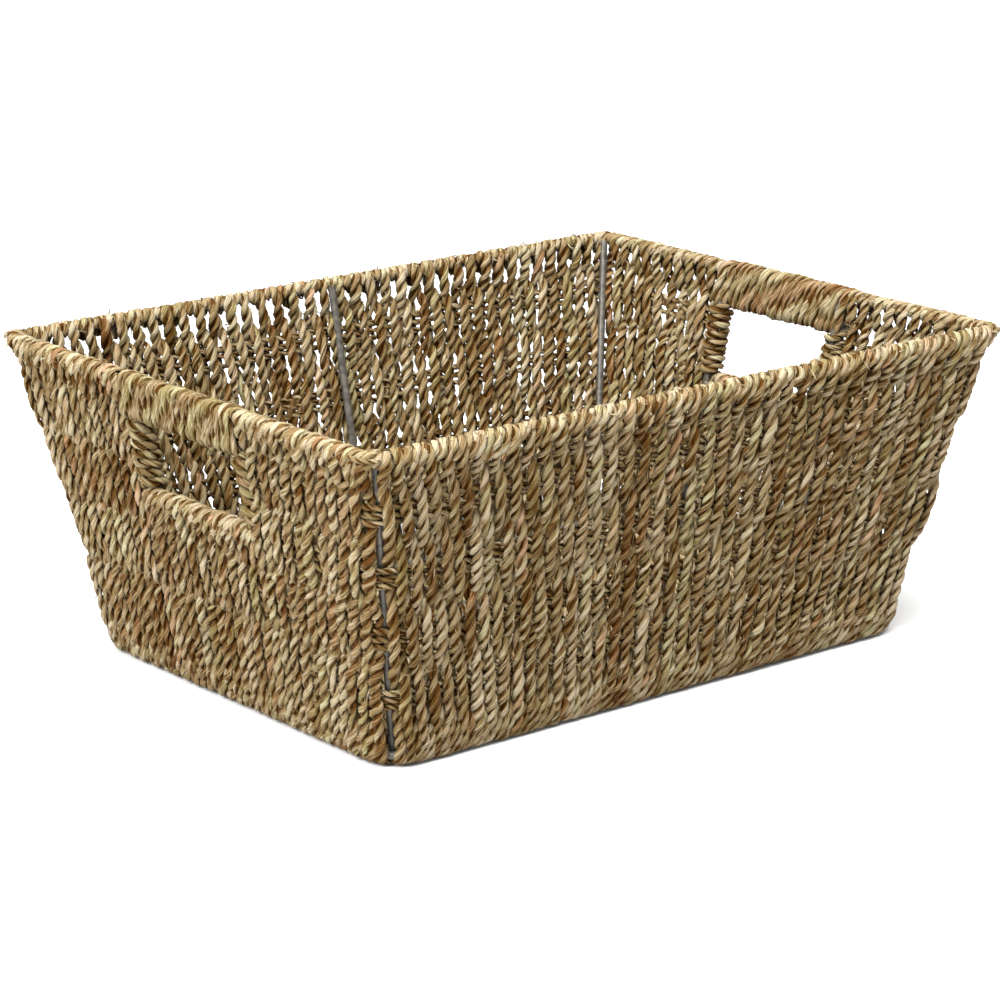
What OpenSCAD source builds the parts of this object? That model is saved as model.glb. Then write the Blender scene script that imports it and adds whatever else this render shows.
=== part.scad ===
// Rectangular seagrass storage basket with flared sides and a hand hole in each short side.
// Frame: origin at the middle of the underside, +X along the long side, +Z up. Millimetres.
// Left is -X, right is +X, front is -Y and back is +Y.

/* [Basket] */
// Length over the rim
top_length = 400; // [360:5:460]
// Width over the rim
top_width = 308; // [260:2:340]
// How much further out the rim stands than the foot, on each side
flare = 32; // [16:2:44]
// Height to the top of the rim
height = 163; // [150:1:200]
// Outer corner radius at the rim
rim_corner = 13; // [13:0.5:18]
// Outer corner radius at the foot
foot_corner = 19.5; // [16:0.5:30]

/* [Cord and wire] */
// Diameter of the steel frame wire
wire_d = 4; // [3:0.5:4.5]
// Diameter of one twisted seagrass cord
cord_d = 4.8; // [4.2:0.2:5]
// Diameter of the bound roll along the rim and around the foot
roll_d = 10; // [9.5:0.5:11]

/* [Hand holes] */
// Clear width of a hand hole
hole_width = 80; // [60:2:100]
// Height of the wire under a hand hole
sill_z = 99; // [92:1:100]
// Height of the lower wire of the grip
grip_z = 142.5; // [141:0.5:144]
// Diameter of the wrapped sill
sill_d = 10; // [9:0.5:11]
// Diameter of the wrapping around the lower grip wire
grip_d = 10; // [9.5:0.5:11]
// Width of a wrapped post beside a hand hole
post_w = 8; // [7:0.5:9]

/* [Ribs] */
// Height between two rib levels
rib_step = 32; // [30:0.5:32]
// Height of the lowest rib level
first_rib_z = 35; // [30:0.5:36]
// Diameter of a rib cord
rib_d = 3.6; // [3.2:0.1:3.8]
// Height between the cords of one rib
cord_step = 4; // [3.9:0.1:4.6]

/* [Hidden] */
$fn = 48;

straw = [0.78, 0.71, 0.56];
khaki = [0.62, 0.54, 0.38];
umber = [0.45, 0.36, 0.22];
steel = [0.33, 0.31, 0.28];

roll_r = roll_d / 2;
foot_z = roll_r;                      // centre line of the foot wire
rim_z = height - roll_r;              // centre line of the rim wire
lean = flare / (rim_z - foot_z);      // how far the wall moves out for each mm up
lean_angle = atan(lean);
wall_in = wire_d + cord_d / 2 + 0.2;  // wall's middle to its inner face
inset = wire_d + 0.2;                 // wall's middle to the middle of an upright wire
post_y = hole_width / 2 + post_w / 2; // middle of a post
gap_y = hole_width / 2 + post_w;      // where the walls stop beside a hand hole
base_t = 10;                          // thickness of the woven base
bend_r = 6;                           // bend of a U wire at the foot
far = 2 * top_length;                 // reaches past the whole basket
rib_count = 4;
rib_cords = [-1, 0, 1];
base_rib_ys = [-90, -60, -28, 0, 28, 60, 90];
diagonal = (top_length - top_width) / 2; // x at which the corner diagonals meet the X axis
end_gap = 0.3;                        // between the ends of two pieces
post_room = 1;                        // how much further in a grip reaches, to cover the posts

function neat(v) = round(v * 100) / 100;
// Half length, half width and corner radius of the wall's middle, at height z.
function half_x(z) = neat(top_length / 2 - roll_r - (rim_z - z) * lean);
function half_y(z) = neat(top_width / 2 - roll_r - (rim_z - z) * lean);
function corner_r(z) = neat(
    foot_corner + (rim_corner - foot_corner) * (z - foot_z) / (rim_z - foot_z) - roll_r);
function rib_z(level) = first_rib_z + (rib_count - level) * rib_step;
// How far the rounded corner of the wall's middle stands in from the square one, along each side.
function corner_cut(z) = corner_r(z) * (1 - sqrt(0.5));

// ---------- shapes ----------

// Round bar from p to q.
module bar(p, q, d) {
    v = q - p;
    translate(p) rotate([0, acos(v.z / norm(v)), atan2(v.y, v.x)]) cylinder(h = norm(v), d = d);
}

// Quarter of a torus about its own corner, from the -X side round to the -Y side.
module corner_tube(r, d) {
    rotate([0, 0, 180]) rotate_extrude(angle = 90) translate([r, 0]) circle(d = d);
}

// The front half of a rounded rectangular ring, which stops short of the middle of each end.
module front_ring(z, d, short_of = 0) {
    hx = half_x(z);
    hy = half_y(z);
    r = corner_r(z);
    for (side = [-1, 1]) {
        bar([side * hx, -hy + r, z], [side * hx, -short_of, z], d);
        translate([side * (hx - r), -hy + r, z])
            mirror([side > 0 ? 1 : 0, 0, 0]) corner_tube(r, d);
    }
    bar([-hx + r, -hy, z], [hx - r, -hy, z], d);
}

module full_ring(z, d) {
    front_ring(z, d);
    mirror([0, 1, 0]) front_ring(z, d);
}

// Flat rounded rectangle.
module plate(hx, hy, r) {
    square([2 * (hx - r), 2 * hy], center = true);
    square([2 * hx, 2 * (hy - r)], center = true);
    for (x = [-1, 1], y = [-1, 1]) translate([x * (hx - r), y * (hy - r)]) circle(r);
}

// Flared block whose faces stand off the wall's middle by a distance.
module flared_block(z0, z1, off) {
    hull() for (z = [z0, z1])
        translate([0, 0, z]) linear_extrude(0.01)
            plate(half_x(z) + off, half_y(z) + off, max(corner_r(z) + off, 0.5), $fn = 32);
}

// Channel that the cords of one rib lie in.
module rib_channel(z) {
    slack = cord_step * lean;
    room = rib_d / 2 + slack + 0.1;
    translate([0, 0, z - 1.5 * cord_step]) linear_extrude(3 * cord_step) difference() {
        plate(half_x(z) + room, half_y(z) + room, corner_r(z) + room);
        plate(half_x(z) - room, half_y(z) - room, max(corner_r(z) - room, 0.5));
    }
}

// Round wire along points in the XZ plane. headings are its directions at those points.
module bent_wire(points, headings, d) {
    sides = 16;
    rings = len(points);
    verts = [for (i = [0:rings - 1], k = [0:sides - 1])
        let (a = 360 * k / sides, out = d / 2 * cos(a))
        [points[i].x - out * sin(headings[i]), d / 2 * sin(a), points[i].y + out * cos(headings[i])]];
    skin = [for (i = [0:rings - 2], k = [0:sides - 1])
        let (a = i * sides + k, b = i * sides + (k + 1) % sides)
        [a, b, b + sides, a + sides]];
    polyhedron(verts, concat(skin, [[for (k = [sides - 1:-1:0]) k],
        [for (k = [0:sides - 1]) (rings - 1) * sides + k]]));
}

// U-shaped wire in the XZ plane: down one wall, across the base and up the other.
// foot is the half length of the wall's middle at foot_z, and run_z is the height of its run.
module u_wire(foot, run_z) {
    turn = 90 - lean_angle;
    steps = 6;
    bend_x = foot - inset + (run_z - foot_z) * lean - bend_r * tan(turn / 2);
    top = foot - inset + (rim_z - foot_z) * lean;
    turns = [for (i = [0:steps]) turn * i / steps];
    right = [for (a = turns) [bend_x + bend_r * sin(a), run_z + bend_r * (1 - cos(a))]];
    left = [for (i = [steps:-1:0]) [-right[i].x, right[i].y]];
    bent_wire(
        concat([[-top, rim_z]], left, right, [[top, rim_z]]),
        concat([-turn], [for (i = [steps:-1:0]) -turns[i]], turns, [turn]),
        wire_d);
}

// ---------- steel frame ----------

module rim_wire() color(steel) full_ring(rim_z, wire_d);

module base_wire() color(steel) full_ring(foot_z, wire_d);

// Upright at one corner, just inside the rim and foot wires.
module corner_wire(x, y) {
    c = inset * sqrt(0.5);
    low = foot_z + wire_d / 2;
    color(steel) bar(
        [x * (half_x(low) - corner_cut(low) - c), y * (half_y(low) - corner_cut(low) - c), low],
        [x * (half_x(rim_z) - corner_cut(rim_z) - c),
         y * (half_y(rim_z) - corner_cut(rim_z) - c), rim_z],
        wire_d);
}
module corner_wire_front_left() corner_wire(-1, -1);
module corner_wire_front_right() corner_wire(1, -1);
module corner_wire_back_left() corner_wire(-1, 1);
module corner_wire_back_right() corner_wire(1, 1);

// One wire up the middle of the front, across the base above the other two, and up the back.
module side_u_wire() color(steel)
    rotate([0, 0, 90]) u_wire(half_y(foot_z), foot_z + wire_d + 0.1);

// Wires that form the posts beside both hand holes and run the length of the base.
module handle_u_wire(y) color(steel) translate([0, y, 0]) u_wire(half_x(foot_z), foot_z);
module handle_u_wire_front() handle_u_wire(-post_y);
module handle_u_wire_back() handle_u_wire(post_y);

// Straight wire from post to post.
module cross_wire(side, z) color(steel)
    bar([side * half_x(z), -post_y - wire_d / 2, z], [side * half_x(z), post_y + wire_d / 2, z],
        wire_d);
module grip_wire_left() cross_wire(-1, grip_z);
module grip_wire_right() cross_wire(1, grip_z);
module sill_wire_left() cross_wire(-1, sill_z);
module sill_wire_right() cross_wire(1, sill_z);

module all_wires() {
    rim_wire();
    base_wire();
    for (x = [-1, 1], y = [-1, 1]) corner_wire(x, y);
    side_u_wire();
    handle_u_wire_front();
    handle_u_wire_back();
    for (side = [-1, 1]) {
        cross_wire(side, grip_z);
        cross_wire(side, sill_z);
    }
}

// ---------- bindings ----------

// Roll of looped-over cords along one half of the rim, between the two grips.
module rim_binding() color(straw) difference() {
    front_ring(rim_z, roll_d, gap_y + end_gap);
    front_ring(rim_z, wire_d);
    corner_wire(-1, -1);
    corner_wire(1, -1);
    side_u_wire();
}
module rim_binding_front() rim_binding();
module rim_binding_back() mirror([0, 1, 0]) rim_binding();

// Cord wound round the rim wire, the wire below it and the tops of the posts.
module grip_section() hull() {
    circle(d = roll_d);
    translate([-post_room, 0]) circle(d = roll_d);
    translate([-(rim_z - grip_z) * lean - post_room, grip_z - rim_z]) circle(d = grip_d);
}
module grip_wrap() color(straw) difference() {
    translate([half_x(rim_z), gap_y, rim_z]) rotate([90, 0, 0])
        linear_extrude(2 * gap_y) grip_section();
    rim_wire();
    cross_wire(1, grip_z);
    handle_u_wire_front();
    handle_u_wire_back();
}
module grip_wrap_right() grip_wrap();
module grip_wrap_left() mirror([1, 0, 0]) grip_wrap();

// Cord wound round the wire at the foot of a hand hole.
module sill_wrap() color(straw) difference() {
    bar([half_x(sill_z), -gap_y, sill_z], [half_x(sill_z), gap_y, sill_z], sill_d);
    cross_wire(1, sill_z);
    handle_u_wire_front();
    handle_u_wire_back();
}
module sill_wrap_right() sill_wrap();
module sill_wrap_left() mirror([1, 0, 0]) sill_wrap();

// Cord wound round a post wire and the wall's cut edge beside a hand hole.
module post_section() {
    depth = roll_r;
    circle(d = post_w);
    translate([depth, 0]) circle(d = post_w);
    translate([0, -post_w / 2]) square([depth, post_w]);
}
module post_wrap(side, y) {
    low = sill_z + sill_d / 2 + end_gap;
    high = grip_z - grip_d / 2 - end_gap;
    run = (high - low) / cos(lean_angle);
    color(straw) mirror([side > 0 ? 0 : 1, 0, 0]) difference() {
        translate([half_x(low) - inset, y, low]) rotate([0, lean_angle, 0])
            linear_extrude(run) post_section();
        translate([0, y, 0]) u_wire(half_x(foot_z), foot_z);
    }
}
module post_wrap_front_left() post_wrap(-1, -post_y);
module post_wrap_front_right() post_wrap(1, -post_y);
module post_wrap_back_left() post_wrap(-1, post_y);
module post_wrap_back_right() post_wrap(1, post_y);

// ---------- ribs ----------

module rib_half(level) color(umber) for (k = rib_cords)
    front_ring(rib_z(level) + k * cord_step, rib_d, gap_y + end_gap);
module rib_ring(level) color(umber) for (k = rib_cords)
    full_ring(rib_z(level) + k * cord_step, rib_d);

module rib_1_front() rib_half(1);
module rib_1_back() mirror([0, 1, 0]) rib_half(1);
module rib_2_front() rib_half(2);
module rib_2_back() mirror([0, 1, 0]) rib_half(2);
module rib_3() rib_ring(3);
module rib_4() rib_ring(4);

// Cords that run the length of the base.
base_rib_reach = half_x(foot_z) - roll_r - 2;
module base_ribs() color(umber) for (y = base_rib_ys, k = rib_cords)
    bar([-base_rib_reach, y + k * cord_step, base_t / 2],
        [base_rib_reach, y + k * cord_step, base_t / 2], rib_d);

// ---------- woven panels ----------

// Woven base with the roll of cords that turns under the foot wire.
module base_solid() {
    full_ring(foot_z, roll_d);
    linear_extrude(base_t) plate(half_x(foot_z), half_y(foot_z), corner_r(foot_z));
}
module base_weave() color(khaki) difference() {
    base_solid();
    all_wires();
    for (y = base_rib_ys)
        translate([-base_rib_reach, y - 1.5 * cord_step, (base_t - rib_d) / 2])
            cube([2 * base_rib_reach, 3 * cord_step, rib_d]);
}

// The whole flared wall, with room for everything that lies inside it.
module wall_shell() difference() {
    flared_block(foot_z, rim_z - roll_r / 2, roll_r);
    flared_block(foot_z - 1, rim_z, -wall_in);
    base_solid();
    full_ring(rim_z, roll_d);
    for (level = [1:rib_count]) rib_channel(rib_z(level));
    all_wires();
}

// Space in front of the two diagonals at the front corners, from the middle of the basket out.
module front_sector() {
    linear_extrude(height) polygon([
        [-diagonal, 0], [diagonal, 0], [diagonal + top_width, -top_width],
        [-diagonal - top_width, -top_width]]);
}
// Space to the right of the two diagonals at the right-hand corners.
module right_sector() {
    linear_extrude(height) polygon([
        [diagonal, 0], [diagonal + top_width, -top_width], [diagonal + top_width, top_width]]);
}

// Room for a hand hole and for what is wrapped around it.
module hole_room() {
    translate([half_x(sill_z) - far / 2, -gap_y, sill_z]) cube([far, 2 * gap_y, height]);
    bar([half_x(sill_z), -gap_y, sill_z], [half_x(sill_z), gap_y, sill_z], sill_d);
}

module long_weave() color(khaki) intersection() {
    wall_shell();
    front_sector();
}
module short_weave() color(khaki) difference() {
    intersection() {
        wall_shell();
        right_sector();
    }
    hole_room();
}
module front_weave() long_weave();
module back_weave() mirror([0, 1, 0]) long_weave();
module right_weave() short_weave();
module left_weave() mirror([1, 0, 0]) short_weave();

rim_wire();
base_wire();
corner_wire_front_left();
corner_wire_front_right();
corner_wire_back_left();
corner_wire_back_right();
side_u_wire();
handle_u_wire_front();
handle_u_wire_back();
grip_wire_left();
grip_wire_right();
sill_wire_left();
sill_wire_right();
rim_binding_front();
rim_binding_back();
grip_wrap_left();
grip_wrap_right();
sill_wrap_left();
sill_wrap_right();
post_wrap_front_left();
post_wrap_front_right();
post_wrap_back_left();
post_wrap_back_right();
rib_1_front();
rib_1_back();
rib_2_front();
rib_2_back();
rib_3();
rib_4();
base_ribs();
front_weave();
back_weave();
left_weave();
right_weave();
base_weave();
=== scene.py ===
"""A seagrass storage basket: two-ply twisted cords woven over a steel wire frame.

Every cord is modelled whole, as two plies that twist round each other. A long cord starts as a loop
over the front rim wire, passes in front of and behind the ribs of the front wall in turn, turns under
the foot wire, crosses the base and goes up the back wall to the rim. A short cord does the same on a
short wall and ends tucked in under the base. The frame's wires are the CAD model's own.
"""

import math

import bpy
import numpy as np
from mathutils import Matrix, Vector


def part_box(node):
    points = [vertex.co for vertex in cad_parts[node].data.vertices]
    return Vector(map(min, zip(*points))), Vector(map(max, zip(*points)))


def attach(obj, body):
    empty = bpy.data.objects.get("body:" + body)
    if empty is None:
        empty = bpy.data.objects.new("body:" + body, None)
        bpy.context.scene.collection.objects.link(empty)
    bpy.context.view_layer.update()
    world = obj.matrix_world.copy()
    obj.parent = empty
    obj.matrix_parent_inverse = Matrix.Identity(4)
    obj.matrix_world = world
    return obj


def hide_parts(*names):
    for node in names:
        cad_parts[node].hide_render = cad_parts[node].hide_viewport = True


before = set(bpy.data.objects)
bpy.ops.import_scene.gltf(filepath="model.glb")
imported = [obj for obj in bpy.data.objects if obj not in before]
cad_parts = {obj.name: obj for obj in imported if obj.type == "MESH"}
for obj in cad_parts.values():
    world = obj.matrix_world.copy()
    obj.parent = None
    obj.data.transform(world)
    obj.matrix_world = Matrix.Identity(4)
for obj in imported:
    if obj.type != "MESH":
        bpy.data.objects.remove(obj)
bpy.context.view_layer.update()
MM = 0.001
rng = np.random.default_rng(11)

# ---------- sizes, all in millimetres, from the frame ----------


def span(node):
    """Lowest and highest corners of a CAD node, in millimetres."""
    low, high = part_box(node)
    return np.array(low) / MM, np.array(high) / MM


rim_low, rim_high = span("rim_wire")
foot_low, foot_high = span("base_wire")
WIRE = rim_high[2] - rim_low[2]
RIM_Z = (rim_low[2] + rim_high[2]) / 2
FOOT_Z = (foot_low[2] + foot_high[2]) / 2
RIM_X, RIM_Y = rim_high[0] - WIRE / 2, rim_high[1] - WIRE / 2
FOOT_X, FOOT_Y = foot_high[0] - WIRE / 2, foot_high[1] - WIRE / 2
LEAN = (RIM_X - FOOT_X) / (RIM_Z - FOOT_Z)
SILL_Z = span("sill_wire_right")[0][2] + WIRE / 2
GRIP_Z = span("grip_wire_right")[0][2] + WIRE / 2
POST_LOW, POST_HIGH = span("post_wrap_back_right")
POST_Y = (POST_LOW[1] + POST_HIGH[1]) / 2
GAP_Y = POST_HIGH[1]
INSET = WIRE + 0.2                      # the post wires stand this far inside the wall's middle
RIM_CORNER, FOOT_CORNER = 8.0, 14.5     # corner radii of the wall's middle
RIB_ZS = [(span(f"rib_{k}{end}")[0][2] + span(f"rib_{k}{end}")[1][2]) / 2
          for k, end in ((1, "_front"), (2, "_front"), (3, ""), (4, ""))]
RIB_PITCH = 4.0                         # between the cords of one rib
BASE_RIB_YS = [-90, -60, -28, 0, 28, 60, 90]

CORD_R = 2.5                            # radius of an upright cord
RIB_R = 1.75                            # radius of a rib cord
LAY = 14.5                              # length of one full twist of an upright
RIB_LAY = 13.0                          # and of a rib cord
STEP = 1.4                              # between the rings of a ply
SIDES = 8                               # of a ply
PLY_AWAY = 0.48                         # from the cord's middle to a ply's, as a share of its radius
PLY_DEEP, PLY_WIDE = 0.53, 0.68         # half a ply's depth and width, likewise
RIM_PAINTED_LIGHT, BROAD = 0.2, 0.2                # how much paler uprights are painted on the rim, as painted light from above, and how much they spread
PITCH = 4.7                             # between uprights, at PITCH_Z
SHORT_PITCH = 4.45                      # the same on the short walls, which are woven closer
PITCH_Z = 130.0                         # height at which both are measured
CORNER_GAP = 4.3                        # from a corner's middle to the first upright
WEAVE = 2.7                             # how far the uprights swing out and in
DRIFT = 0.5                             # how far a swinging upright leans to its partner
HOLD = 0.12                             # share of a tier in which an upright lies flat on a rib
LOOP_R = WIRE / 2 + 1.35                # middle of a cord that goes tightly round a wire
LOOP_SLANT = 1.2                        # how far it moves sideways on its way over the wire
TIGHT = 0.55                            # how flat such a cord is pressed
ON_RIB = 0.72                           # how flat a cord is pressed where it crosses a rib
BASE_SWING = 3.5                        # how far a cord swings down and up on the base
BASE_Z = FOOT_Z + 1.0                   # height of the base ribs' middle


def half_x(z):
    """Half the distance between the middles of the short walls at height z."""
    return RIM_X - (RIM_Z - z) * LEAN


def half_y(z):
    """The same for the long walls."""
    return RIM_Y - (RIM_Z - z) * LEAN


def corner_r(z):
    """The corner radius of the walls' middle at height z."""
    return FOOT_CORNER + (RIM_CORNER - FOOT_CORNER) * (z - FOOT_Z) / (RIM_Z - FOOT_Z)


# ---------- twisted cords ----------


class Strands:
    """Collects the plies of many cords and makes one mesh of them."""

    def __init__(self):
        self.points, self.tones, self.fibres = [], [], []
        self.quads, self.caps, self.count = [], [], 0

    def add(self, rings, tone, fibre):
        """One ply. rings holds its points, as (ring, side, 3), and so do tone and fibre, which
        the material reads: tone is shade, with painted crease shade and painted rim light in it, hue
        and seed, and fibre is girth, length and seed."""
        n, sides = rings.shape[:2]
        self.points.append(rings.reshape(-1, 3))
        self.tones.append(tone.reshape(-1, 3))
        self.fibres.append(fibre.reshape(-1, 3))
        ring = np.arange(n - 1)[:, None] * sides
        side = np.arange(sides)[None, :]
        after = (side + 1) % sides
        quads = np.stack([ring + side, ring + after, ring + sides + after, ring + sides + side], -1)
        self.quads.append(quads.reshape(-1, 4) + self.count)
        last = (n - 1) * sides
        self.caps.append(np.arange(sides)[::-1] + self.count)
        self.caps.append(np.arange(sides) + last + self.count)
        self.count += n * sides

    def build(self, name, material, slot, *nodes):
        """The mesh object, which rides on the basket and stands for these CAD nodes."""
        mesh = bpy.data.meshes.new(name)
        points = np.concatenate(self.points) * MM
        quads = np.concatenate(self.quads)
        sizes = np.concatenate([np.full(len(quads), 4), [len(c) for c in self.caps]])
        corners = np.concatenate([quads.ravel()] + self.caps)
        mesh.vertices.add(len(points))
        mesh.vertices.foreach_set("co", points.astype(np.float32).ravel())
        mesh.loops.add(len(corners))
        mesh.loops.foreach_set("vertex_index", corners.astype(np.int32))
        mesh.polygons.add(len(sizes))
        starts = np.concatenate([[0], np.cumsum(sizes)[:-1]])
        mesh.polygons.foreach_set("loop_start", starts.astype(np.int32))
        mesh.update(calc_edges=True)
        mesh.shade_smooth()
        for key, rows in (("tone", self.tones), ("fibre", self.fibres)):
            own = mesh.attributes.new(key, "FLOAT_VECTOR", "POINT")
            own.data.foreach_set("vector", np.concatenate(rows).astype(np.float32).ravel())
        piece = bpy.data.objects.new(name, mesh)
        bpy.context.scene.collection.objects.link(piece)
        mesh.materials.append(material)
        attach(piece, "root")
        if nodes:
            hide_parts(*nodes)
        return piece


def ripple(s, wavelength, waves=3):
    """Smooth noise along s, from about -1 to 1."""
    out = np.zeros_like(s)
    for _ in range(waves):
        length = wavelength * rng.uniform(0.6, 1.8)
        out += np.sin(2 * math.pi * (s / length + rng.uniform())) / waves
    return out * 1.4


def unit(v):
    """v at length 1, along its last axis."""
    return v / np.linalg.norm(v, axis=-1, keepdims=True)


def resample(path, across, press, step):
    """The path at even steps, with the matching across vectors, presses and arc lengths."""
    s = np.concatenate([[0], np.cumsum(np.linalg.norm(np.diff(path, axis=0), axis=1))])
    n = max(int(s[-1] / step) + 1, 4)
    at = np.linspace(0, s[-1], n)
    even = np.stack([np.interp(at, s, path[:, k]) for k in range(3)], 1)
    side = np.stack([np.interp(at, s, across[:, k]) for k in range(3)], 1)
    return even, side, np.interp(at, s, press), at


def twist(strands, path, across, radius=CORD_R, lay=LAY, tone=None, wander=0.22, press=1.0,
          rim_painted_light=0.0, broad=0.0):
    """Adds a two-ply cord along path. across is a vector at each point, roughly square to it.
    press flattens the cord square to both, by a number for the whole cord or for each point.
    Its painted rim light makes the cord paler where it comes over its top wire, as light from above
    would, and broad makes it wider."""
    press = np.broadcast_to(press, len(path))
    path, across, press, s = resample(path, across, press, STEP)
    along = unit(np.gradient(path, axis=0))
    first = unit(across - np.sum(across * along, 1, keepdims=True) * along)
    second = np.cross(along, first)
    path = path + wander * (ripple(s, 34)[:, None] * first + ripple(s, 34)[:, None] * second)
    tone = rng.uniform(0.2, 0.8) if tone is None else tone
    lay = lay * rng.uniform(0.85, 1.2)
    radius = radius * rng.uniform(0.9, 1.1) * (1 + 0.07 * ripple(s, 70))
    turn = 2 * math.pi * (np.cumsum((1 + 0.3 * ripple(s, 45)) * s[1] / lay) + rng.uniform())
    ends = np.clip(np.minimum(s, s[-1] - s) / 2.5, 0.25, 1)
    phi = 2 * math.pi * np.arange(SIDES)[None, :] / SIDES
    for ply in (0, 1):
        angle = turn + ply * math.pi
        out = np.cos(angle)[:, None] * first + np.sin(angle)[:, None] * second
        around = -np.sin(angle)[:, None] * first + np.cos(angle)[:, None] * second
        size = (radius * ends * rng.uniform(0.88, 1.12) * (1 + 0.12 * ripple(s, 24)))[:, None]
        away = (PLY_AWAY * radius * ends * (1 + 0.10 * ripple(s, 30)))[:, None]
        own = (-2 * math.pi * s / (lay * rng.uniform(0.6, 1.1)) + rng.uniform(0, 6))[:, None]
        fold = np.cos(phi - 0.8 * own) ** 8 * (np.cos(phi - 0.8 * own) > 0)
        shape = (1 + 0.15 * np.cos(2 * (phi - own)) + 0.08 * np.cos(3 * phi - 1.6 * own)
                 - 0.20 * fold + 0.07 * np.stack([ripple(s, 8, 2) for _ in range(SIDES)], 1))
        deep = away + PLY_DEEP * size * shape * np.cos(phi)
        wide = PLY_WIDE * size * shape * np.sin(phi)
        rings = deep[..., None] * out[:, None, :] + wide[..., None] * around[:, None, :]
        high = np.sum(rings * second[:, None, :], 2, keepdims=True)
        spread = np.sum(rings * first[:, None, :], 2, keepdims=True)
        flatter = (1 - press)[:, None, None]
        rings = (path[:, None, :] + rings - flatter * high * second[:, None, :]
                 + (broad + 0.45 * flatter) * spread * first[:, None, :])
        shade = tone + rng.normal(0, 0.09) + 0.13 * ripple(s, 40)
        # Painted light: the cord is painted paler in its highest few millimetres, over its top wire,
        # where light from above falls on the rim.
        shade = shade + rim_painted_light * np.clip((path[:, 2] - path[:, 2].max() + 8) / 5, 0, 1)
        # Painted shade: the ply's flanks that face its partner, and its grooves and folds, are
        # painted darker where shade falls between the plies.
        painted_crease_shade = np.clip(0.5 - np.cos(phi), 0, 1) * 0.65 + np.clip(1.0 - shape, 0, 1) * 0.9
        hue = rng.uniform(0, 1) + 0.06 * ripple(s, 80)
        seed = rng.uniform(0, 100)
        flat = np.ones_like(painted_crease_shade)
        tones = np.stack([shade[:, None] - painted_crease_shade, hue[:, None] * flat, seed * flat], -1)
        girth = np.abs(((phi / math.pi) % 2) - 1) * 3.0
        fibre = np.stack([girth * flat, s[:, None] * flat, seed * flat], -1)
        strands.add(rings, tones, fibre)


def wisp(strands, start, heading, outward, length, width, tone):
    """A loose leaf fibre: a thin flat strip that lies along heading and bends away."""
    n = max(int(length / 1.5), 4)
    u = np.linspace(0, 1, n)
    side = unit(np.cross(heading, outward))
    bend, lift = rng.normal(0, 0.22) * length, rng.uniform(0.02, 0.12) * length
    path = (start + np.outer(u * length, heading) + np.outer(u ** 2 * bend, side)
            + np.outer(u ** 2 * lift, outward) - np.outer(1.2 * (1 - u) ** 3, outward))
    roll = rng.uniform(0, math.pi) + u * rng.uniform(-2.5, 2.5)
    broad = np.cos(roll)[:, None] * side + np.sin(roll)[:, None] * outward
    thin = -np.sin(roll)[:, None] * side + np.cos(roll)[:, None] * outward
    fade = np.clip(1.15 - u, 0.15, 1) * np.clip(u * 6 + 0.5, 0, 1)
    phi = np.array([0.25, 0.75, 1.25, 1.75]) * math.pi
    wide, deep = (width * fade)[:, None, None], (0.22 * width * fade)[:, None, None]
    rings = (path[:, None, :] + wide * np.cos(phi)[None, :, None] * broad[:, None, :]
             + deep * np.sin(phi)[None, :, None] * thin[:, None, :])
    flat = np.ones((n, 4))
    seed = rng.uniform(0, 100)
    strands.add(rings, np.stack([tone * flat, rng.uniform(0, 1) * flat, seed * flat], -1),
                np.stack([flat * phi / 3, u[:, None] * length * flat, seed * flat], -1))


# ---------- where the walls are ----------

WALLS = {
    "front": (np.array([1.0, 0, 0]), np.array([0, -1.0, 0])),
    "right": (np.array([0, 1.0, 0]), np.array([1.0, 0, 0])),
    "back": (np.array([-1.0, 0, 0]), np.array([0, 1.0, 0])),
    "left": (np.array([0, -1.0, 0]), np.array([-1.0, 0, 0])),
}
UP = np.array([0, 0, 1.0])


def wall_halves(wall, z):
    """Distance of the wall's middle from the centre, and half its length, at height z."""
    if wall in ("front", "back"):
        return half_y(z), half_x(z)
    return half_x(z), half_y(z)


def reach(wall, z):
    """Half the wall's length, measured round its corner to the diagonal."""
    return wall_halves(wall, z)[1] - corner_r(z) * (1 - math.pi / 4)


def on_wall(wall, run, z):
    """Points of the wall's middle at distance run from its centre line, with their outward and
    sideways directions. run and z are arrays. Past the straight stretch it follows the corner."""
    side, out = WALLS[wall]
    depth, half = wall_halves(wall, z)
    r = corner_r(z)
    straight = half - r
    over = np.clip((np.abs(run) - straight) / r, 0, math.pi / 3) * np.sign(run)
    flat = np.clip(run, -straight, straight)
    outward = np.cos(over)[:, None] * out + np.sin(over)[:, None] * side
    sideways = -np.sin(over)[:, None] * out + np.cos(over)[:, None] * side
    centre = flat[:, None] * side + (depth - r)[:, None] * out + z[:, None] * UP
    return centre + r[:, None] * outward, outward, sideways


TILT = math.atan(LEAN)


def lean_out(outward):
    """The wall's own normal, which points a little down."""
    return math.cos(TILT) * outward - math.sin(TILT) * UP


def ease(at, stations, values):
    """Passes from value to value between stations, and stays flat near each station."""
    at = np.asarray(at, float)
    k = np.clip(np.searchsorted(stations, at) - 1, 0, len(stations) - 2)
    stations, values = np.asarray(stations, float), np.asarray(values, float)
    t = (at - stations[k]) / (stations[k + 1] - stations[k])
    t = np.clip((t - HOLD) / (1 - 2 * HOLD), 0, 1)
    t = 0.5 - 0.5 * np.cos(math.pi * t)
    return values[k] + (values[k + 1] - values[k]) * t


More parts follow.
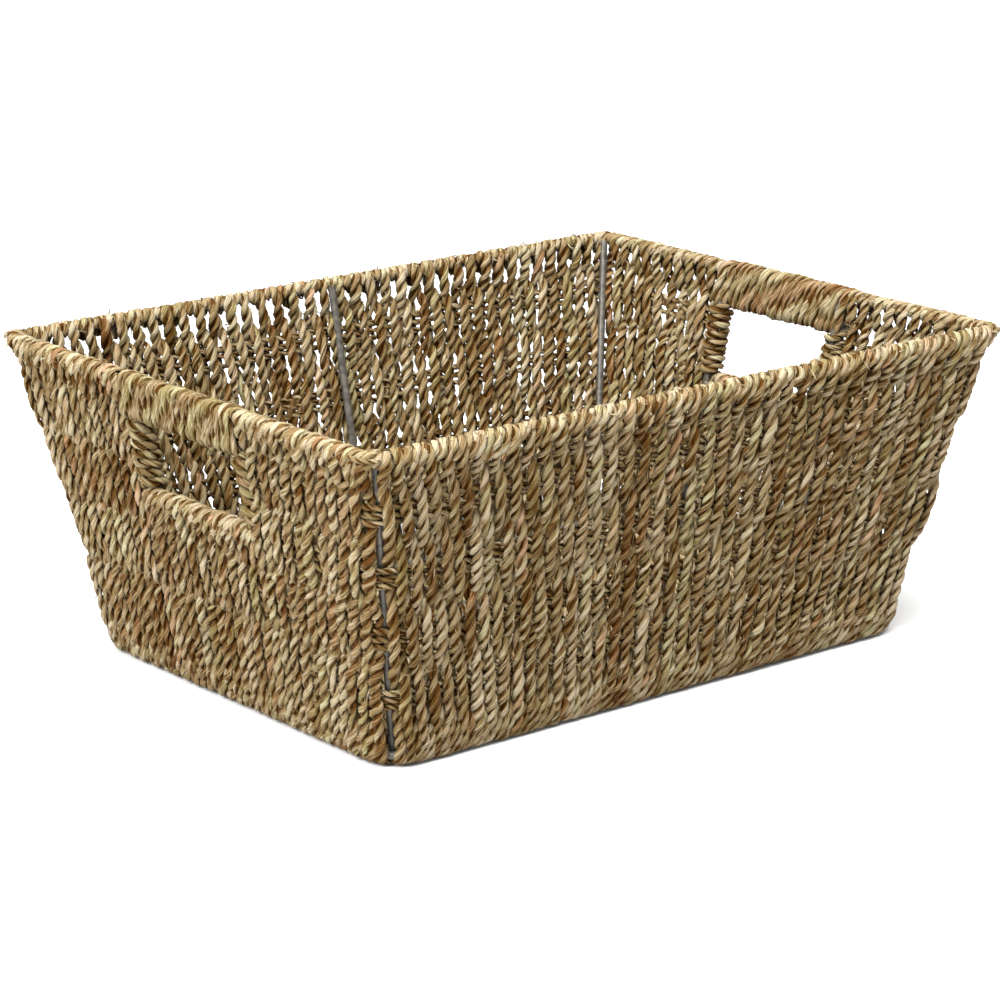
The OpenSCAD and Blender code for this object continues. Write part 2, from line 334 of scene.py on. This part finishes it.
def wall_run(wall, share, tops, first):
    """One upright from its top wire down to the foot wire. tops are the heights of the top wire
    and the ribs under it, and first the side on which it leaves the top wire, +1 for outside."""
    stations = np.array(tops + [FOOT_Z]) + rng.normal(0, 1.6, len(tops) + 1)
    stations[0], stations[-1] = tops[0], FOOT_Z
    sides = [first * (-1) ** k for k in range(len(tops))]
    swing = [s * WEAVE * (rng.uniform(0.85, 1.1) if rng.uniform() < 0.9 else rng.uniform(0.1, 0.6))
             for s in sides[1:]]
    swing = [LOOP_R * sides[0]] + swing + [LOOP_R]
    drift = [-s * DRIFT * rng.uniform(0.2, 1.8) + rng.normal(0, 0.35) for s in sides[1:]]
    drift = [LOOP_SLANT * sides[0] / 2] + drift + [0.0]
    z = np.append(np.arange(tops[0], FOOT_Z, -1.0), FOOT_Z)
    out = ease(-z, -stations, swing)
    run = share * reach(wall, z) + ease(-z, -stations, drift) + 0.3 * ripple(z, 55)
    place, outward, sideways = on_wall(wall, run, z)
    return place + out[:, None] * lean_out(outward), sideways, run


def arc(centre, outward, sideways, start, stop, radius):
    """Part of a turn round a wire. Angles are in degrees: 0 is the wall's outward normal and
    90 is up along the wall."""
    steps = max(int(abs(stop - start) / 16), 2)
    angle = np.radians(np.linspace(start, stop, steps + 1))
    normal = lean_out(outward)
    upward = np.cross(sideways, normal)
    upward = upward if upward[2] > 0 else -upward
    points = (centre + np.outer(radius * np.cos(angle), normal)
              + np.outer(radius * np.sin(angle), upward))
    return points, np.repeat(sideways[None, :], steps + 1, 0)


def top_loop(wall, run, z, side):
    """The way over a top wire, from the loose tail to where the upright leaves it. side is +1 for
    an upright that leaves on the outside, whose tail hangs inside, and -1 for the opposite."""
    middle = run - LOOP_SLANT * side / 2
    place, outward, sideways = on_wall(wall, np.array([middle]), np.array([z]))
    begin, end = (180.0, 0.0) if side > 0 else (0.0, 180.0)
    points, across = arc(place[0], outward[0], sideways[0], begin, end, LOOP_R)
    share = np.linspace(-0.5, 0.5, len(points)) * LOOP_SLANT * side
    points = points + np.outer(share, sideways[0])
    length = rng.uniform(3, 10) if side < 0 else rng.uniform(2, 3.5)
    below = np.arange(1.0, length)[::-1]
    lead = middle - LOOP_SLANT * side / 2 + (rng.normal(0, 0.14) - 0.10) * below
    tail, normal, tail_across = on_wall(wall, lead, z - below)
    tail = tail - (side * (LOOP_R + 0.1 - 0.04 * below))[:, None] * lean_out(normal)
    return np.concatenate([tail, points]), np.concatenate([tail_across, across])


def upright(wall, share, tops, first):
    """A cord from its loop over the top wire to just under the foot wire, and how it is pressed."""
    body, across, run = wall_run(wall, share, tops, first)
    loop, loop_across = top_loop(wall, run[0], tops[0], first)
    place, outward, sideways = on_wall(wall, run[-1:], np.array([FOOT_Z]))
    straight_down = -(90 - math.degrees(TILT))
    turn, turn_across = arc(place[0], outward[0], sideways[0], 0, straight_down, LOOP_R)
    gap = np.minimum(tops[0] - body[:, 2], body[:, 2] - FOOT_Z)
    press = np.clip(TIGHT + gap / 18, TIGHT, 1)
    for z in RIB_ZS:
        press = np.minimum(press, ON_RIB + np.clip(np.abs(body[:, 2] - z) - 5, 0, 8) / 28)
    press = np.concatenate([np.full(len(loop) - 1, TIGHT), press, np.full(len(turn) - 1, TIGHT)])
    return (np.concatenate([loop[:-1], body, turn[1:]]),
            np.concatenate([loop_across[:-1], across, turn_across[1:]]), press)


def shares(wall):
    """Where the uprights stand along a wall, as shares of its reach. On a short wall they leave
    room for the posts beside the hand hole."""
    whole = reach(wall, PITCH_Z)
    far = (whole - CORNER_GAP) / whole
    if wall in ("front", "back"):            # a little closer together towards the corners
        even = np.linspace(-1, 1, int(round(2 * far * whole / PITCH)) + 1)
        even = far * (even + 0.07 * even * (1 - np.abs(even)))
        return even + rng.normal(0, 0.25, len(even)) / whole
    post_out = (GAP_Y + 0.9 * CORD_R) / reach(wall, GRIP_Z - 10)
    post_in = (GAP_Y - CORD_R) / reach(wall, SILL_Z)
    out = []
    for start, stop in ((-far, -post_out), (-post_in, post_in), (post_out, far)):
        count = int(round((stop - start) * whole / SHORT_PITCH)) + 1
        out.append(np.linspace(start, stop, count) + rng.normal(0, 0.35, count) / whole)
    return np.concatenate(out)


# ---------- the cords ----------


def base_crossing(start, stop, first):
    """A long cord's way across the base, over and under the base ribs in turn."""
    stations = np.array([start[1]] + BASE_RIB_YS + [stop[1]], float)
    sides = [1.0] + [first * (-1) ** k for k in range(len(BASE_RIB_YS))] + [1.0]
    swing = np.array(sides) * BASE_SWING
    y = np.arange(start[1] + 1, stop[1] - 1, 1.0)
    x = np.interp(y, [start[1], stop[1]], [start[0], stop[0]]) + 0.3 * ripple(y, 80)
    points = np.stack([x, y, BASE_Z - ease(y, stations, swing)], 1)
    return points, np.repeat(np.array([[1.0, 0, 0]]), len(y), 0)


def long_cord(strands, share, index):
    """A whole long cord: front rim, front wall, base, back wall, back rim."""
    first = 1 if index % 2 else -1
    tops = [RIM_Z] + RIB_ZS
    front, front_across, front_press = upright("front", share, tops, first)
    back, back_across, back_press = upright("back", -share, tops, first)
    base, base_across = base_crossing(front[-1], back[-1], first)
    twist(strands, np.concatenate([front, base, back[::-1]]),
          np.concatenate([front_across, base_across, -back_across[::-1]]),
          press=np.concatenate([front_press, np.full(len(base), 0.85), back_press[::-1]]),
          rim_painted_light=RIM_PAINTED_LIGHT, broad=BROAD)


def short_cord(strands, wall, share, index):
    """A short cord: rim or sill, short wall, and a tucked end under the base."""
    first = 1 if index % 2 else -1
    beside_hole = abs(share) * reach(wall, GRIP_Z - 10) > GAP_Y
    tops = [RIM_Z] + RIB_ZS if beside_hole else [SILL_Z] + RIB_ZS[2:]
    path, across, press = upright(wall, share, tops, first)
    inward = -WALLS[wall][1]
    count = 19                               # points of the tail, 1 mm apart
    tail = (path[-1] + np.outer(np.arange(1.0, count + 1), inward)
            + np.outer(np.linspace(0, 1.2, count), UP))
    twist(strands, np.concatenate([path, tail]),
          np.concatenate([across, np.repeat(across[-1:], count, 0)]),
          press=np.concatenate([press, np.full(count, TIGHT)]), rim_painted_light=RIM_PAINTED_LIGHT, broad=BROAD)


def corner_loops(strands):
    """Loops that cover the rim wire round each corner, where no upright comes up."""
    for wall in WALLS:
        for over in (-0.33, 0.33):
            run = np.array([reach(wall, RIM_Z) + over * CORNER_GAP])
            place, outward, sideways = on_wall(wall, run, np.array([RIM_Z]))
            begin = rng.uniform(-75, -50)
            points, across = arc(place[0], outward[0], sideways[0], begin, begin + 300, LOOP_R + 0.2)
            points = points + np.outer(np.linspace(-1, 1, len(points)), sideways[0])
            twist(strands, points, across, press=0.7, rim_painted_light=RIM_PAINTED_LIGHT)
        # A strand that runs along the rim round the corner, over the loops.
        run = np.linspace(-rng.uniform(5, 14), rng.uniform(3, 6.5), 24) + reach(wall, RIM_Z)
        place, outward, sideways = on_wall(wall, run, np.full_like(run, RIM_Z))
        rise = rng.uniform(0.1, 0.9)
        points = place + (LOOP_R + 2.2) * (math.cos(rise) * outward + math.sin(rise) * UP)
        points = points - (1.6 * np.abs(np.linspace(-1, 1, 24))[:, None] ** 4) * outward
        twist(strands, points, outward, 1.3, 10.0, rim_painted_light=RIM_PAINTED_LIGHT)


def wisps(strands, count):
    """Loose leaf ends on the outside and inside of the walls, and along the rim."""
    for _ in range(count):
        wall = ("front", "back", "left", "right")[rng.choice(4, p=(0.3, 0.3, 0.2, 0.2))]
        z = rng.uniform(FOOT_Z + 6, RIM_Z)
        run = rng.uniform(-1, 1) * (reach(wall, z) - 5)
        if wall in ("left", "right") and abs(run) < GAP_Y + 4 and z > SILL_Z - 4:
            continue                         # in the hand hole
        place, outward, sideways = on_wall(wall, np.array([run]), np.array([z]))
        place, outward, sideways = place[0], outward[0], sideways[0]
        face = 1 if rng.uniform() < 0.6 else -1
        slope = rng.normal(0.35, 0.45)
        heading = unit(rng.choice((-1, 1)) * (UP * math.cos(slope) + sideways * math.sin(slope)))
        start = place + face * rng.uniform(2.2, WEAVE + 2.0) * lean_out(outward)
        wisp(strands, start, heading, face * outward, rng.uniform(2.5, 7), rng.uniform(0.22, 0.5),
             rng.uniform(-0.2, 1.0))
    for _ in range(count // 25):
        wall = ("front", "back", "left", "right")[rng.choice(4)]
        run = rng.uniform(-1, 1) * (reach(wall, RIM_Z) - 3)
        place, outward, sideways = on_wall(wall, np.array([run]), np.array([RIM_Z]))
        angle = rng.uniform(-0.6, 3.4)
        normal = math.cos(angle) * outward[0] + math.sin(angle) * UP
        heading = unit(sideways[0] * rng.normal(0, 1)
                       + np.cross(sideways[0], normal) * rng.normal(0, 1))
        wisp(strands, place[0] + normal * (LOOP_R + 1.6), heading, normal, rng.uniform(3, 7),
             rng.uniform(0.3, 0.8), rng.uniform(0.3, 1.1))


def ring_path(z, out):
    """A closed way round the basket at height z, off the wall's middle by out."""
    points, across = [], []
    for wall in ("front", "right", "back", "left"):
        edge = reach(wall, z)
        run = np.arange(-edge, edge, 1.0)
        place, outward, _ = on_wall(wall, run, np.full_like(run, z))
        points.append(place + out * outward)
        across.append(outward)
    return np.concatenate(points), np.concatenate(across)


def rib(strands, z, open_at_holes):
    """The cords of one rib level, one above the other. The upper levels stop at the posts."""
    for k in (-1, 0, 1):
        height = z + k * RIB_PITCH + rng.uniform(-0.3, 0.3)
        path, across = ring_path(height, 0.0)
        s = np.arange(len(path), dtype=float)
        path = path + (0.45 * ripple(s, 90))[:, None] * UP
        if not open_at_holes:
            start = int(rng.uniform(0, len(path)))
            path, across = np.roll(path, start, 0), np.roll(across, start, 0)
            twist(strands, path, across, RIB_R, RIB_LAY, rng.uniform(0.2, 0.6))
            continue
        clear = np.abs(path[:, 1]) > POST_Y - 1
        edges = np.flatnonzero(np.diff(np.concatenate([[0], clear.astype(int), [0]])))
        pieces = list(zip(edges[::2], edges[1::2]))
        if clear[0] and clear[-1] and len(pieces) > 1:      # one piece runs over the path's seam
            first, last = pieces[0], pieces[-1]
            pieces = pieces[1:-1] + [(last[0], first[1] + len(path))]
        for a, b in pieces:
            pick = np.arange(a, b) % len(path)
            twist(strands, path[pick], across[pick], RIB_R, RIB_LAY, rng.uniform(0.2, 0.6))


def base_ribs(strands):
    """The base's own ribs, along its length, three cords to a rib."""
    edge = FOOT_X - WIRE - 3
    for y in BASE_RIB_YS:
        for k in (-1, 0, 1):
            x = np.arange(-edge, edge, 1.0)
            path = np.stack([x, np.full_like(x, y + k * RIB_PITCH) + 0.4 * ripple(x, 90),
                             np.full_like(x, BASE_Z)], 1)
            twist(strands, path, np.repeat(UP[None, :], len(x), 0), RIB_R, RIB_LAY,
                  rng.uniform(0.2, 0.6))


GRIP_PITCH, GRIP_LAY = 4.55, 24.0       # between a grip's turns, and of one twist of its cord
POST_PITCH, POST_LAY = 4.4, 17.0        # the same for a post


def grip(strands, side):
    """Cord wound round the rim wire and the wire below it, above one hand hole."""
    wall = "right" if side > 0 else "left"
    turns = int(round(2 * GAP_Y / GRIP_PITCH))
    steps = 28
    u = np.arange(turns * steps + 1) / steps
    y = -GAP_Y + 2 * GAP_Y * u / turns
    # One turn is an arc over the rim wire, a drop, an arc under the grip wire and a rise.
    drop = RIM_Z - GRIP_Z
    arc_len = math.pi * LOOP_R
    total = 2 * arc_len + 2 * drop
    points = []
    for yy, p in zip(y, (u % 1) * total):
        # Inside, the turns bulge over the tops of the post wires.
        bulge = 3.0 * math.exp(-((abs(yy) - POST_Y) / 3.5) ** 2)
        if p < arc_len:                      # over the rim wire, from outside to inside
            a = math.pi * p / arc_len
            o, h = LOOP_R * math.cos(a), RIM_Z + LOOP_R * math.sin(a)
            o -= bulge * max(-math.cos(a), 0)
        elif p < arc_len + drop:             # down the inside
            o, h = -LOOP_R - bulge, RIM_Z - (p - arc_len)
        elif p < 2 * arc_len + drop:         # under the grip wire
            a = math.pi * (1 + (p - arc_len - drop) / arc_len)
            o, h = LOOP_R * math.cos(a), GRIP_Z + LOOP_R * math.sin(a)
            o -= bulge * max(-math.cos(a), 0)
        else:                                # up the outside
            o, h = LOOP_R, GRIP_Z + (p - 2 * arc_len - drop)
        points.append((side * (half_x(h) + o), yy, h))
    path = np.array(points)
    path[:, 1] += 0.5 * ripple(u, 2.5)
    twist(strands, path, np.repeat(np.array([[0, 1.0, 0]]), len(path), 0), CORD_R, GRIP_LAY, 0.45,
          wander=0.1, press=0.75)


def post(strands, side, y):
    """Cord wound round a post wire and the wall's edge beside a hand hole."""
    low, high = SILL_Z + 3.5, GRIP_Z - 3
    turns = int(round((high - low) / POST_PITCH))
    steps = 20
    u = np.arange(turns * steps + 1) / steps
    z = low + (high - low) * u / turns
    a = 2 * math.pi * u
    deep = np.where(np.cos(a) > 0, 6.0, 4.0)            # further on the outside, round the edge
    out = -INSET + 1.0 + deep * np.cos(a)
    along = 4.0 * np.sin(a)
    path = np.stack([side * (half_x(z) + out), y + along, z + 0.5 * ripple(u, 1.5)], 1)
    twist(strands, path, np.repeat(UP[None, :], len(path), 0), CORD_R, POST_LAY, 0.42, wander=0.1)


# ---------- materials ----------


def fill_ramp(ramp, *stops):
    """Gives a colour ramp these (position, colour) stops. It has two to begin with."""
    elements = ramp.color_ramp.elements
    for element, (position, colour) in zip(elements, (stops[0], stops[-1])):
        element.position, element.color = position, (*colour, 1)
    for position, colour in stops[1:-1]:
        elements.new(position).color = (*colour, 1)


def seagrass(name, dark, middle, light, pale):
    """Dry twisted leaf: a colour for each ply, streaks along it and a fine fibre bump."""
    material = bpy.data.materials.new(name)
    material.use_nodes = True
    nodes, links = material.node_tree.nodes, material.node_tree.links
    shader = nodes["Principled BSDF"]
    tone = nodes.new("ShaderNodeAttribute")
    tone.attribute_name = "tone"
    fibre = nodes.new("ShaderNodeAttribute")
    fibre.attribute_name = "fibre"
    parts = nodes.new("ShaderNodeSeparateXYZ")
    links.new(tone.outputs["Vector"], parts.inputs[0])

    def streaks(scale, detail):
        """Noise drawn out along the ply."""
        place = nodes.new("ShaderNodeMapping")
        place.inputs["Scale"].default_value = scale
        links.new(fibre.outputs["Vector"], place.inputs["Vector"])
        noise = nodes.new("ShaderNodeTexNoise")
        noise.inputs["Scale"].default_value = 1.0
        noise.inputs["Detail"].default_value = detail
        links.new(place.outputs["Vector"], noise.inputs["Vector"])
        return noise.outputs["Fac"]

    fine = streaks((1.5, 0.12, 1.0), 3.0)
    blotch = streaks((0.4, 0.08, 1.0), 2.0)

    # Thin dark lines between the leaf strips of a ply.
    place = nodes.new("ShaderNodeMapping")
    place.inputs["Scale"].default_value = (1.1, 0.07, 1.0)
    links.new(fibre.outputs["Vector"], place.inputs["Vector"])
    strips = nodes.new("ShaderNodeTexVoronoi")
    strips.feature = "DISTANCE_TO_EDGE"
    strips.inputs["Scale"].default_value = 1.0
    links.new(place.outputs["Vector"], strips.inputs["Vector"])
    seam = nodes.new("ShaderNodeMapRange")
    seam.inputs["From Max"].default_value = 0.16
    links.new(strips.outputs["Distance"], seam.inputs["Value"])

    def scaled(value, factor, offset):
        """value times factor, plus offset."""
        node = nodes.new("ShaderNodeMath")
        node.operation = "MULTIPLY_ADD"
        links.new(value, node.inputs[0])
        node.inputs[1].default_value = factor
        node.inputs[2].default_value = offset
        return node.outputs[0]

    def added(a, b):
        """a plus b."""
        node = nodes.new("ShaderNodeMath")
        node.operation = "ADD"
        links.new(a, node.inputs[0])
        links.new(b, node.inputs[1])
        return node.outputs[0]

    # The tone's shade brings the painted crease shade and painted rim light from twist into the
    # colour.
    value = added(scaled(parts.outputs["X"], 0.66, 0.37), scaled(fine, 1.3, -0.65))
    value = added(value, scaled(blotch, 0.6, -0.30))
    value = added(value, scaled(seam.outputs["Result"], 0.34, -0.28))
    ramp = nodes.new("ShaderNodeValToRGB")
    links.new(value, ramp.inputs["Fac"])
    fill_ramp(ramp, (0.13, dark), (0.38, middle), (0.66, light), (0.95, pale))

    # Most plies are straw, a few reddish, and some a little green.
    hue = nodes.new("ShaderNodeValToRGB")
    links.new(parts.outputs["Y"], hue.inputs["Fac"])
    fill_ramp(hue, (0.0, (1.0, 0.78, 0.68)), (0.07, (1.0, 0.93, 0.88)), (0.4, (1.0, 0.98, 0.94)),
              (0.85, (0.98, 0.985, 0.90)), (1.0, (0.92, 0.98, 0.80)))
    tinted = nodes.new("ShaderNodeMix")
    tinted.data_type = "RGBA"
    tinted.blend_type = "MULTIPLY"
    tinted.inputs["Factor"].default_value = 1.0
    links.new(ramp.outputs["Color"], tinted.inputs["A"])
    links.new(hue.outputs["Color"], tinted.inputs["B"])
    links.new(tinted.outputs["Result"], shader.inputs["Base Color"])

    links.new(scaled(fine, 0.3, 0.45), shader.inputs["Roughness"])
    shader.inputs["Specular IOR Level"].default_value = 0.05
    relief = added(fine, scaled(seam.outputs["Result"], 0.35, 0.0))
    bump = nodes.new("ShaderNodeBump")
    bump.inputs["Strength"].default_value = 0.8
    bump.inputs["Distance"].default_value = 0.6 * MM
    links.new(relief, bump.inputs["Height"])
    links.new(bump.outputs["Normal"], shader.inputs["Normal"])
    return material


def painted_steel():
    """Dark grey lacquered wire, a little mottled and scuffed."""
    material = bpy.data.materials.new("frame_wire")
    material.use_nodes = True
    nodes, links = material.node_tree.nodes, material.node_tree.links
    shader = nodes["Principled BSDF"]
    place = nodes.new("ShaderNodeTexCoord")
    noise = nodes.new("ShaderNodeTexNoise")
    noise.inputs["Scale"].default_value = 420.0
    noise.inputs["Detail"].default_value = 4.0
    links.new(place.outputs["Object"], noise.inputs["Vector"])
    ramp = nodes.new("ShaderNodeValToRGB")
    fill_ramp(ramp, (0.3, (0.042, 0.038, 0.032)), (0.75, (0.125, 0.112, 0.09)))
    links.new(noise.outputs["Fac"], ramp.inputs["Fac"])
    links.new(ramp.outputs["Color"], shader.inputs["Base Color"])
    rough = nodes.new("ShaderNodeMath")
    rough.operation = "MULTIPLY_ADD"
    rough.inputs[1].default_value = 0.35
    rough.inputs[2].default_value = 0.3
    links.new(noise.outputs["Fac"], rough.inputs[0])
    links.new(rough.outputs[0], shader.inputs["Roughness"])
    shader.inputs["Metallic"].default_value = 0.4
    bump = nodes.new("ShaderNodeBump")
    bump.inputs["Strength"].default_value = 0.25
    bump.inputs["Distance"].default_value = 0.1 * MM
    links.new(noise.outputs["Fac"], bump.inputs["Height"])
    links.new(bump.outputs["Normal"], shader.inputs["Normal"])
    return material


UPRIGHT = seagrass("seagrass_upright", (0.054, 0.021, 0.002), (0.124, 0.082, 0.034),
                   (0.194, 0.147, 0.081), (0.29, 0.25, 0.178))
BINDING = seagrass("seagrass_binding", (0.050, 0.020, 0.002), (0.117, 0.079, 0.035),
                   (0.187, 0.144, 0.083), (0.29, 0.252, 0.182))
RIB = seagrass("seagrass_rib", (0.050, 0.019, 0.002), (0.115, 0.074, 0.030),
               (0.186, 0.138, 0.075), (0.285, 0.242, 0.167))
STEEL = painted_steel()


# ---------- camera, floor and light ----------


AIM = Vector((0, 0, 0.08))               # what the camera and the lights point at, in metres


def camera():
    """The camera at the photograph's angle."""
    data = bpy.data.cameras.new("camera")
    data.lens, data.sensor_width = 124.2, 36.0
    data.shift_x, data.shift_y = -0.0044, -0.0138
    data.clip_start, data.clip_end = 0.05, 50
    eye = bpy.data.objects.new("camera", data)
    azimuth, elevation, distance = math.radians(-39.22), math.radians(15.82), 1.7411
    back = Vector((math.sin(azimuth) * math.cos(elevation),
                   -math.cos(azimuth) * math.cos(elevation), math.sin(elevation)))
    eye.location = AIM + back * distance
    eye.rotation_euler = (-back).to_track_quat("-Z", "Y").to_euler()
    bpy.context.scene.collection.objects.link(eye)
    bpy.context.scene.camera = eye


def area_light(name, place, size, power):
    """A round soft light that points at the basket."""
    data = bpy.data.lights.new(name, "AREA")
    data.shape = "DISK"
    data.size, data.energy = size, power
    lamp = bpy.data.objects.new(name, data)
    lamp.location = place
    lamp.rotation_euler = (AIM - Vector(place)).to_track_quat("-Z", "Y").to_euler()
    bpy.context.scene.collection.objects.link(lamp)


def studio():
    """White surroundings, two soft lights and a pale floor just under the lowest cord."""
    bpy.context.scene.view_settings.view_transform = "Standard"
    world = bpy.data.worlds.new("studio")
    world.use_nodes = True
    back = world.node_tree.nodes["Background"]
    back.inputs["Color"].default_value = (1, 1, 1, 1)
    back.inputs["Strength"].default_value = 1.0
    bpy.context.scene.world = world
    area_light("key", (-2.3, -0.5, 1.7), 1.6, 145)
    area_light("top", (-0.3, -0.75, 2.3), 2.0, 150)

    mesh = bpy.data.meshes.new("floor")
    mesh.from_pydata([(-8, -8, 0), (8, -8, 0), (8, 8, 0), (-8, 8, 0)], [], [(0, 1, 2, 3)])
    floor = bpy.data.objects.new("floor", mesh)
    floor.location.z = -0.0006
    material = bpy.data.materials.new("floor")
    material.use_nodes = True
    shader = material.node_tree.nodes["Principled BSDF"]
    shader.inputs["Base Color"].default_value = (0.62, 0.62, 0.62, 1)
    shader.inputs["Roughness"].default_value = 0.9
    mesh.materials.append(material)
    bpy.context.scene.collection.objects.link(floor)


# ---------- building ----------

camera()
studio()

for node_name, node_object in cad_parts.items():
    if "wire" in node_name:
        node_object.data.materials.clear()
        node_object.data.materials.append(STEEL)
        node_object.data.shade_smooth()

GROUPS = 8                               # meshes that the long cords are shared out to
long_shares = shares("front")
for group in range(GROUPS):
    strands = Strands()
    for index, share in enumerate(long_shares):
        if index * GROUPS // len(long_shares) == group:
            long_cord(strands, share, index)
    strands.build(f"long_cords_{group + 1}", UPRIGHT, "seagrass",
                  "front_weave", "back_weave", "base_weave", "rim_binding_front", "rim_binding_back")

for wall_name, side_sign in (("left", -1), ("right", 1)):
    wall_shares = shares(wall_name)
    for half in (0, 1):
        strands = Strands()
        for index, share in enumerate(wall_shares):
            if index * 2 // len(wall_shares) == half:
                short_cord(strands, wall_name, share, index)
        strands.build(f"{wall_name}_cords_{half + 1}", UPRIGHT, "seagrass",
                      f"{wall_name}_weave", f"sill_wrap_{wall_name}")
    strands = Strands()
    grip(strands, side_sign)
    strands.build(f"{wall_name}_grip", BINDING, "seagrass_binding", f"grip_wrap_{wall_name}")
    for end_name, end_sign in (("front", -1), ("back", 1)):
        strands = Strands()
        post(strands, side_sign, end_sign * POST_Y)
        strands.build(f"{wall_name}_{end_name}_post", BINDING, "seagrass_binding",
                      f"post_wrap_{end_name}_{wall_name}")

strands = Strands()
corner_loops(strands)
wisps(strands, 8000)
strands.build("corner_loops_and_loose_ends", UPRIGHT, "seagrass")

for level in range(4):
    strands = Strands()
    rib(strands, RIB_ZS[level], level < 2)
    halves = ("_front", "_back") if level < 2 else ("",)
    strands.build(f"rib_cords_{level + 1}", RIB, "seagrass_rib",
                  *[f"rib_{level + 1}{half}" for half in halves])
strands = Strands()
base_ribs(strands)
strands.build("base_rib_cords", RIB, "seagrass_rib", "base_ribs")
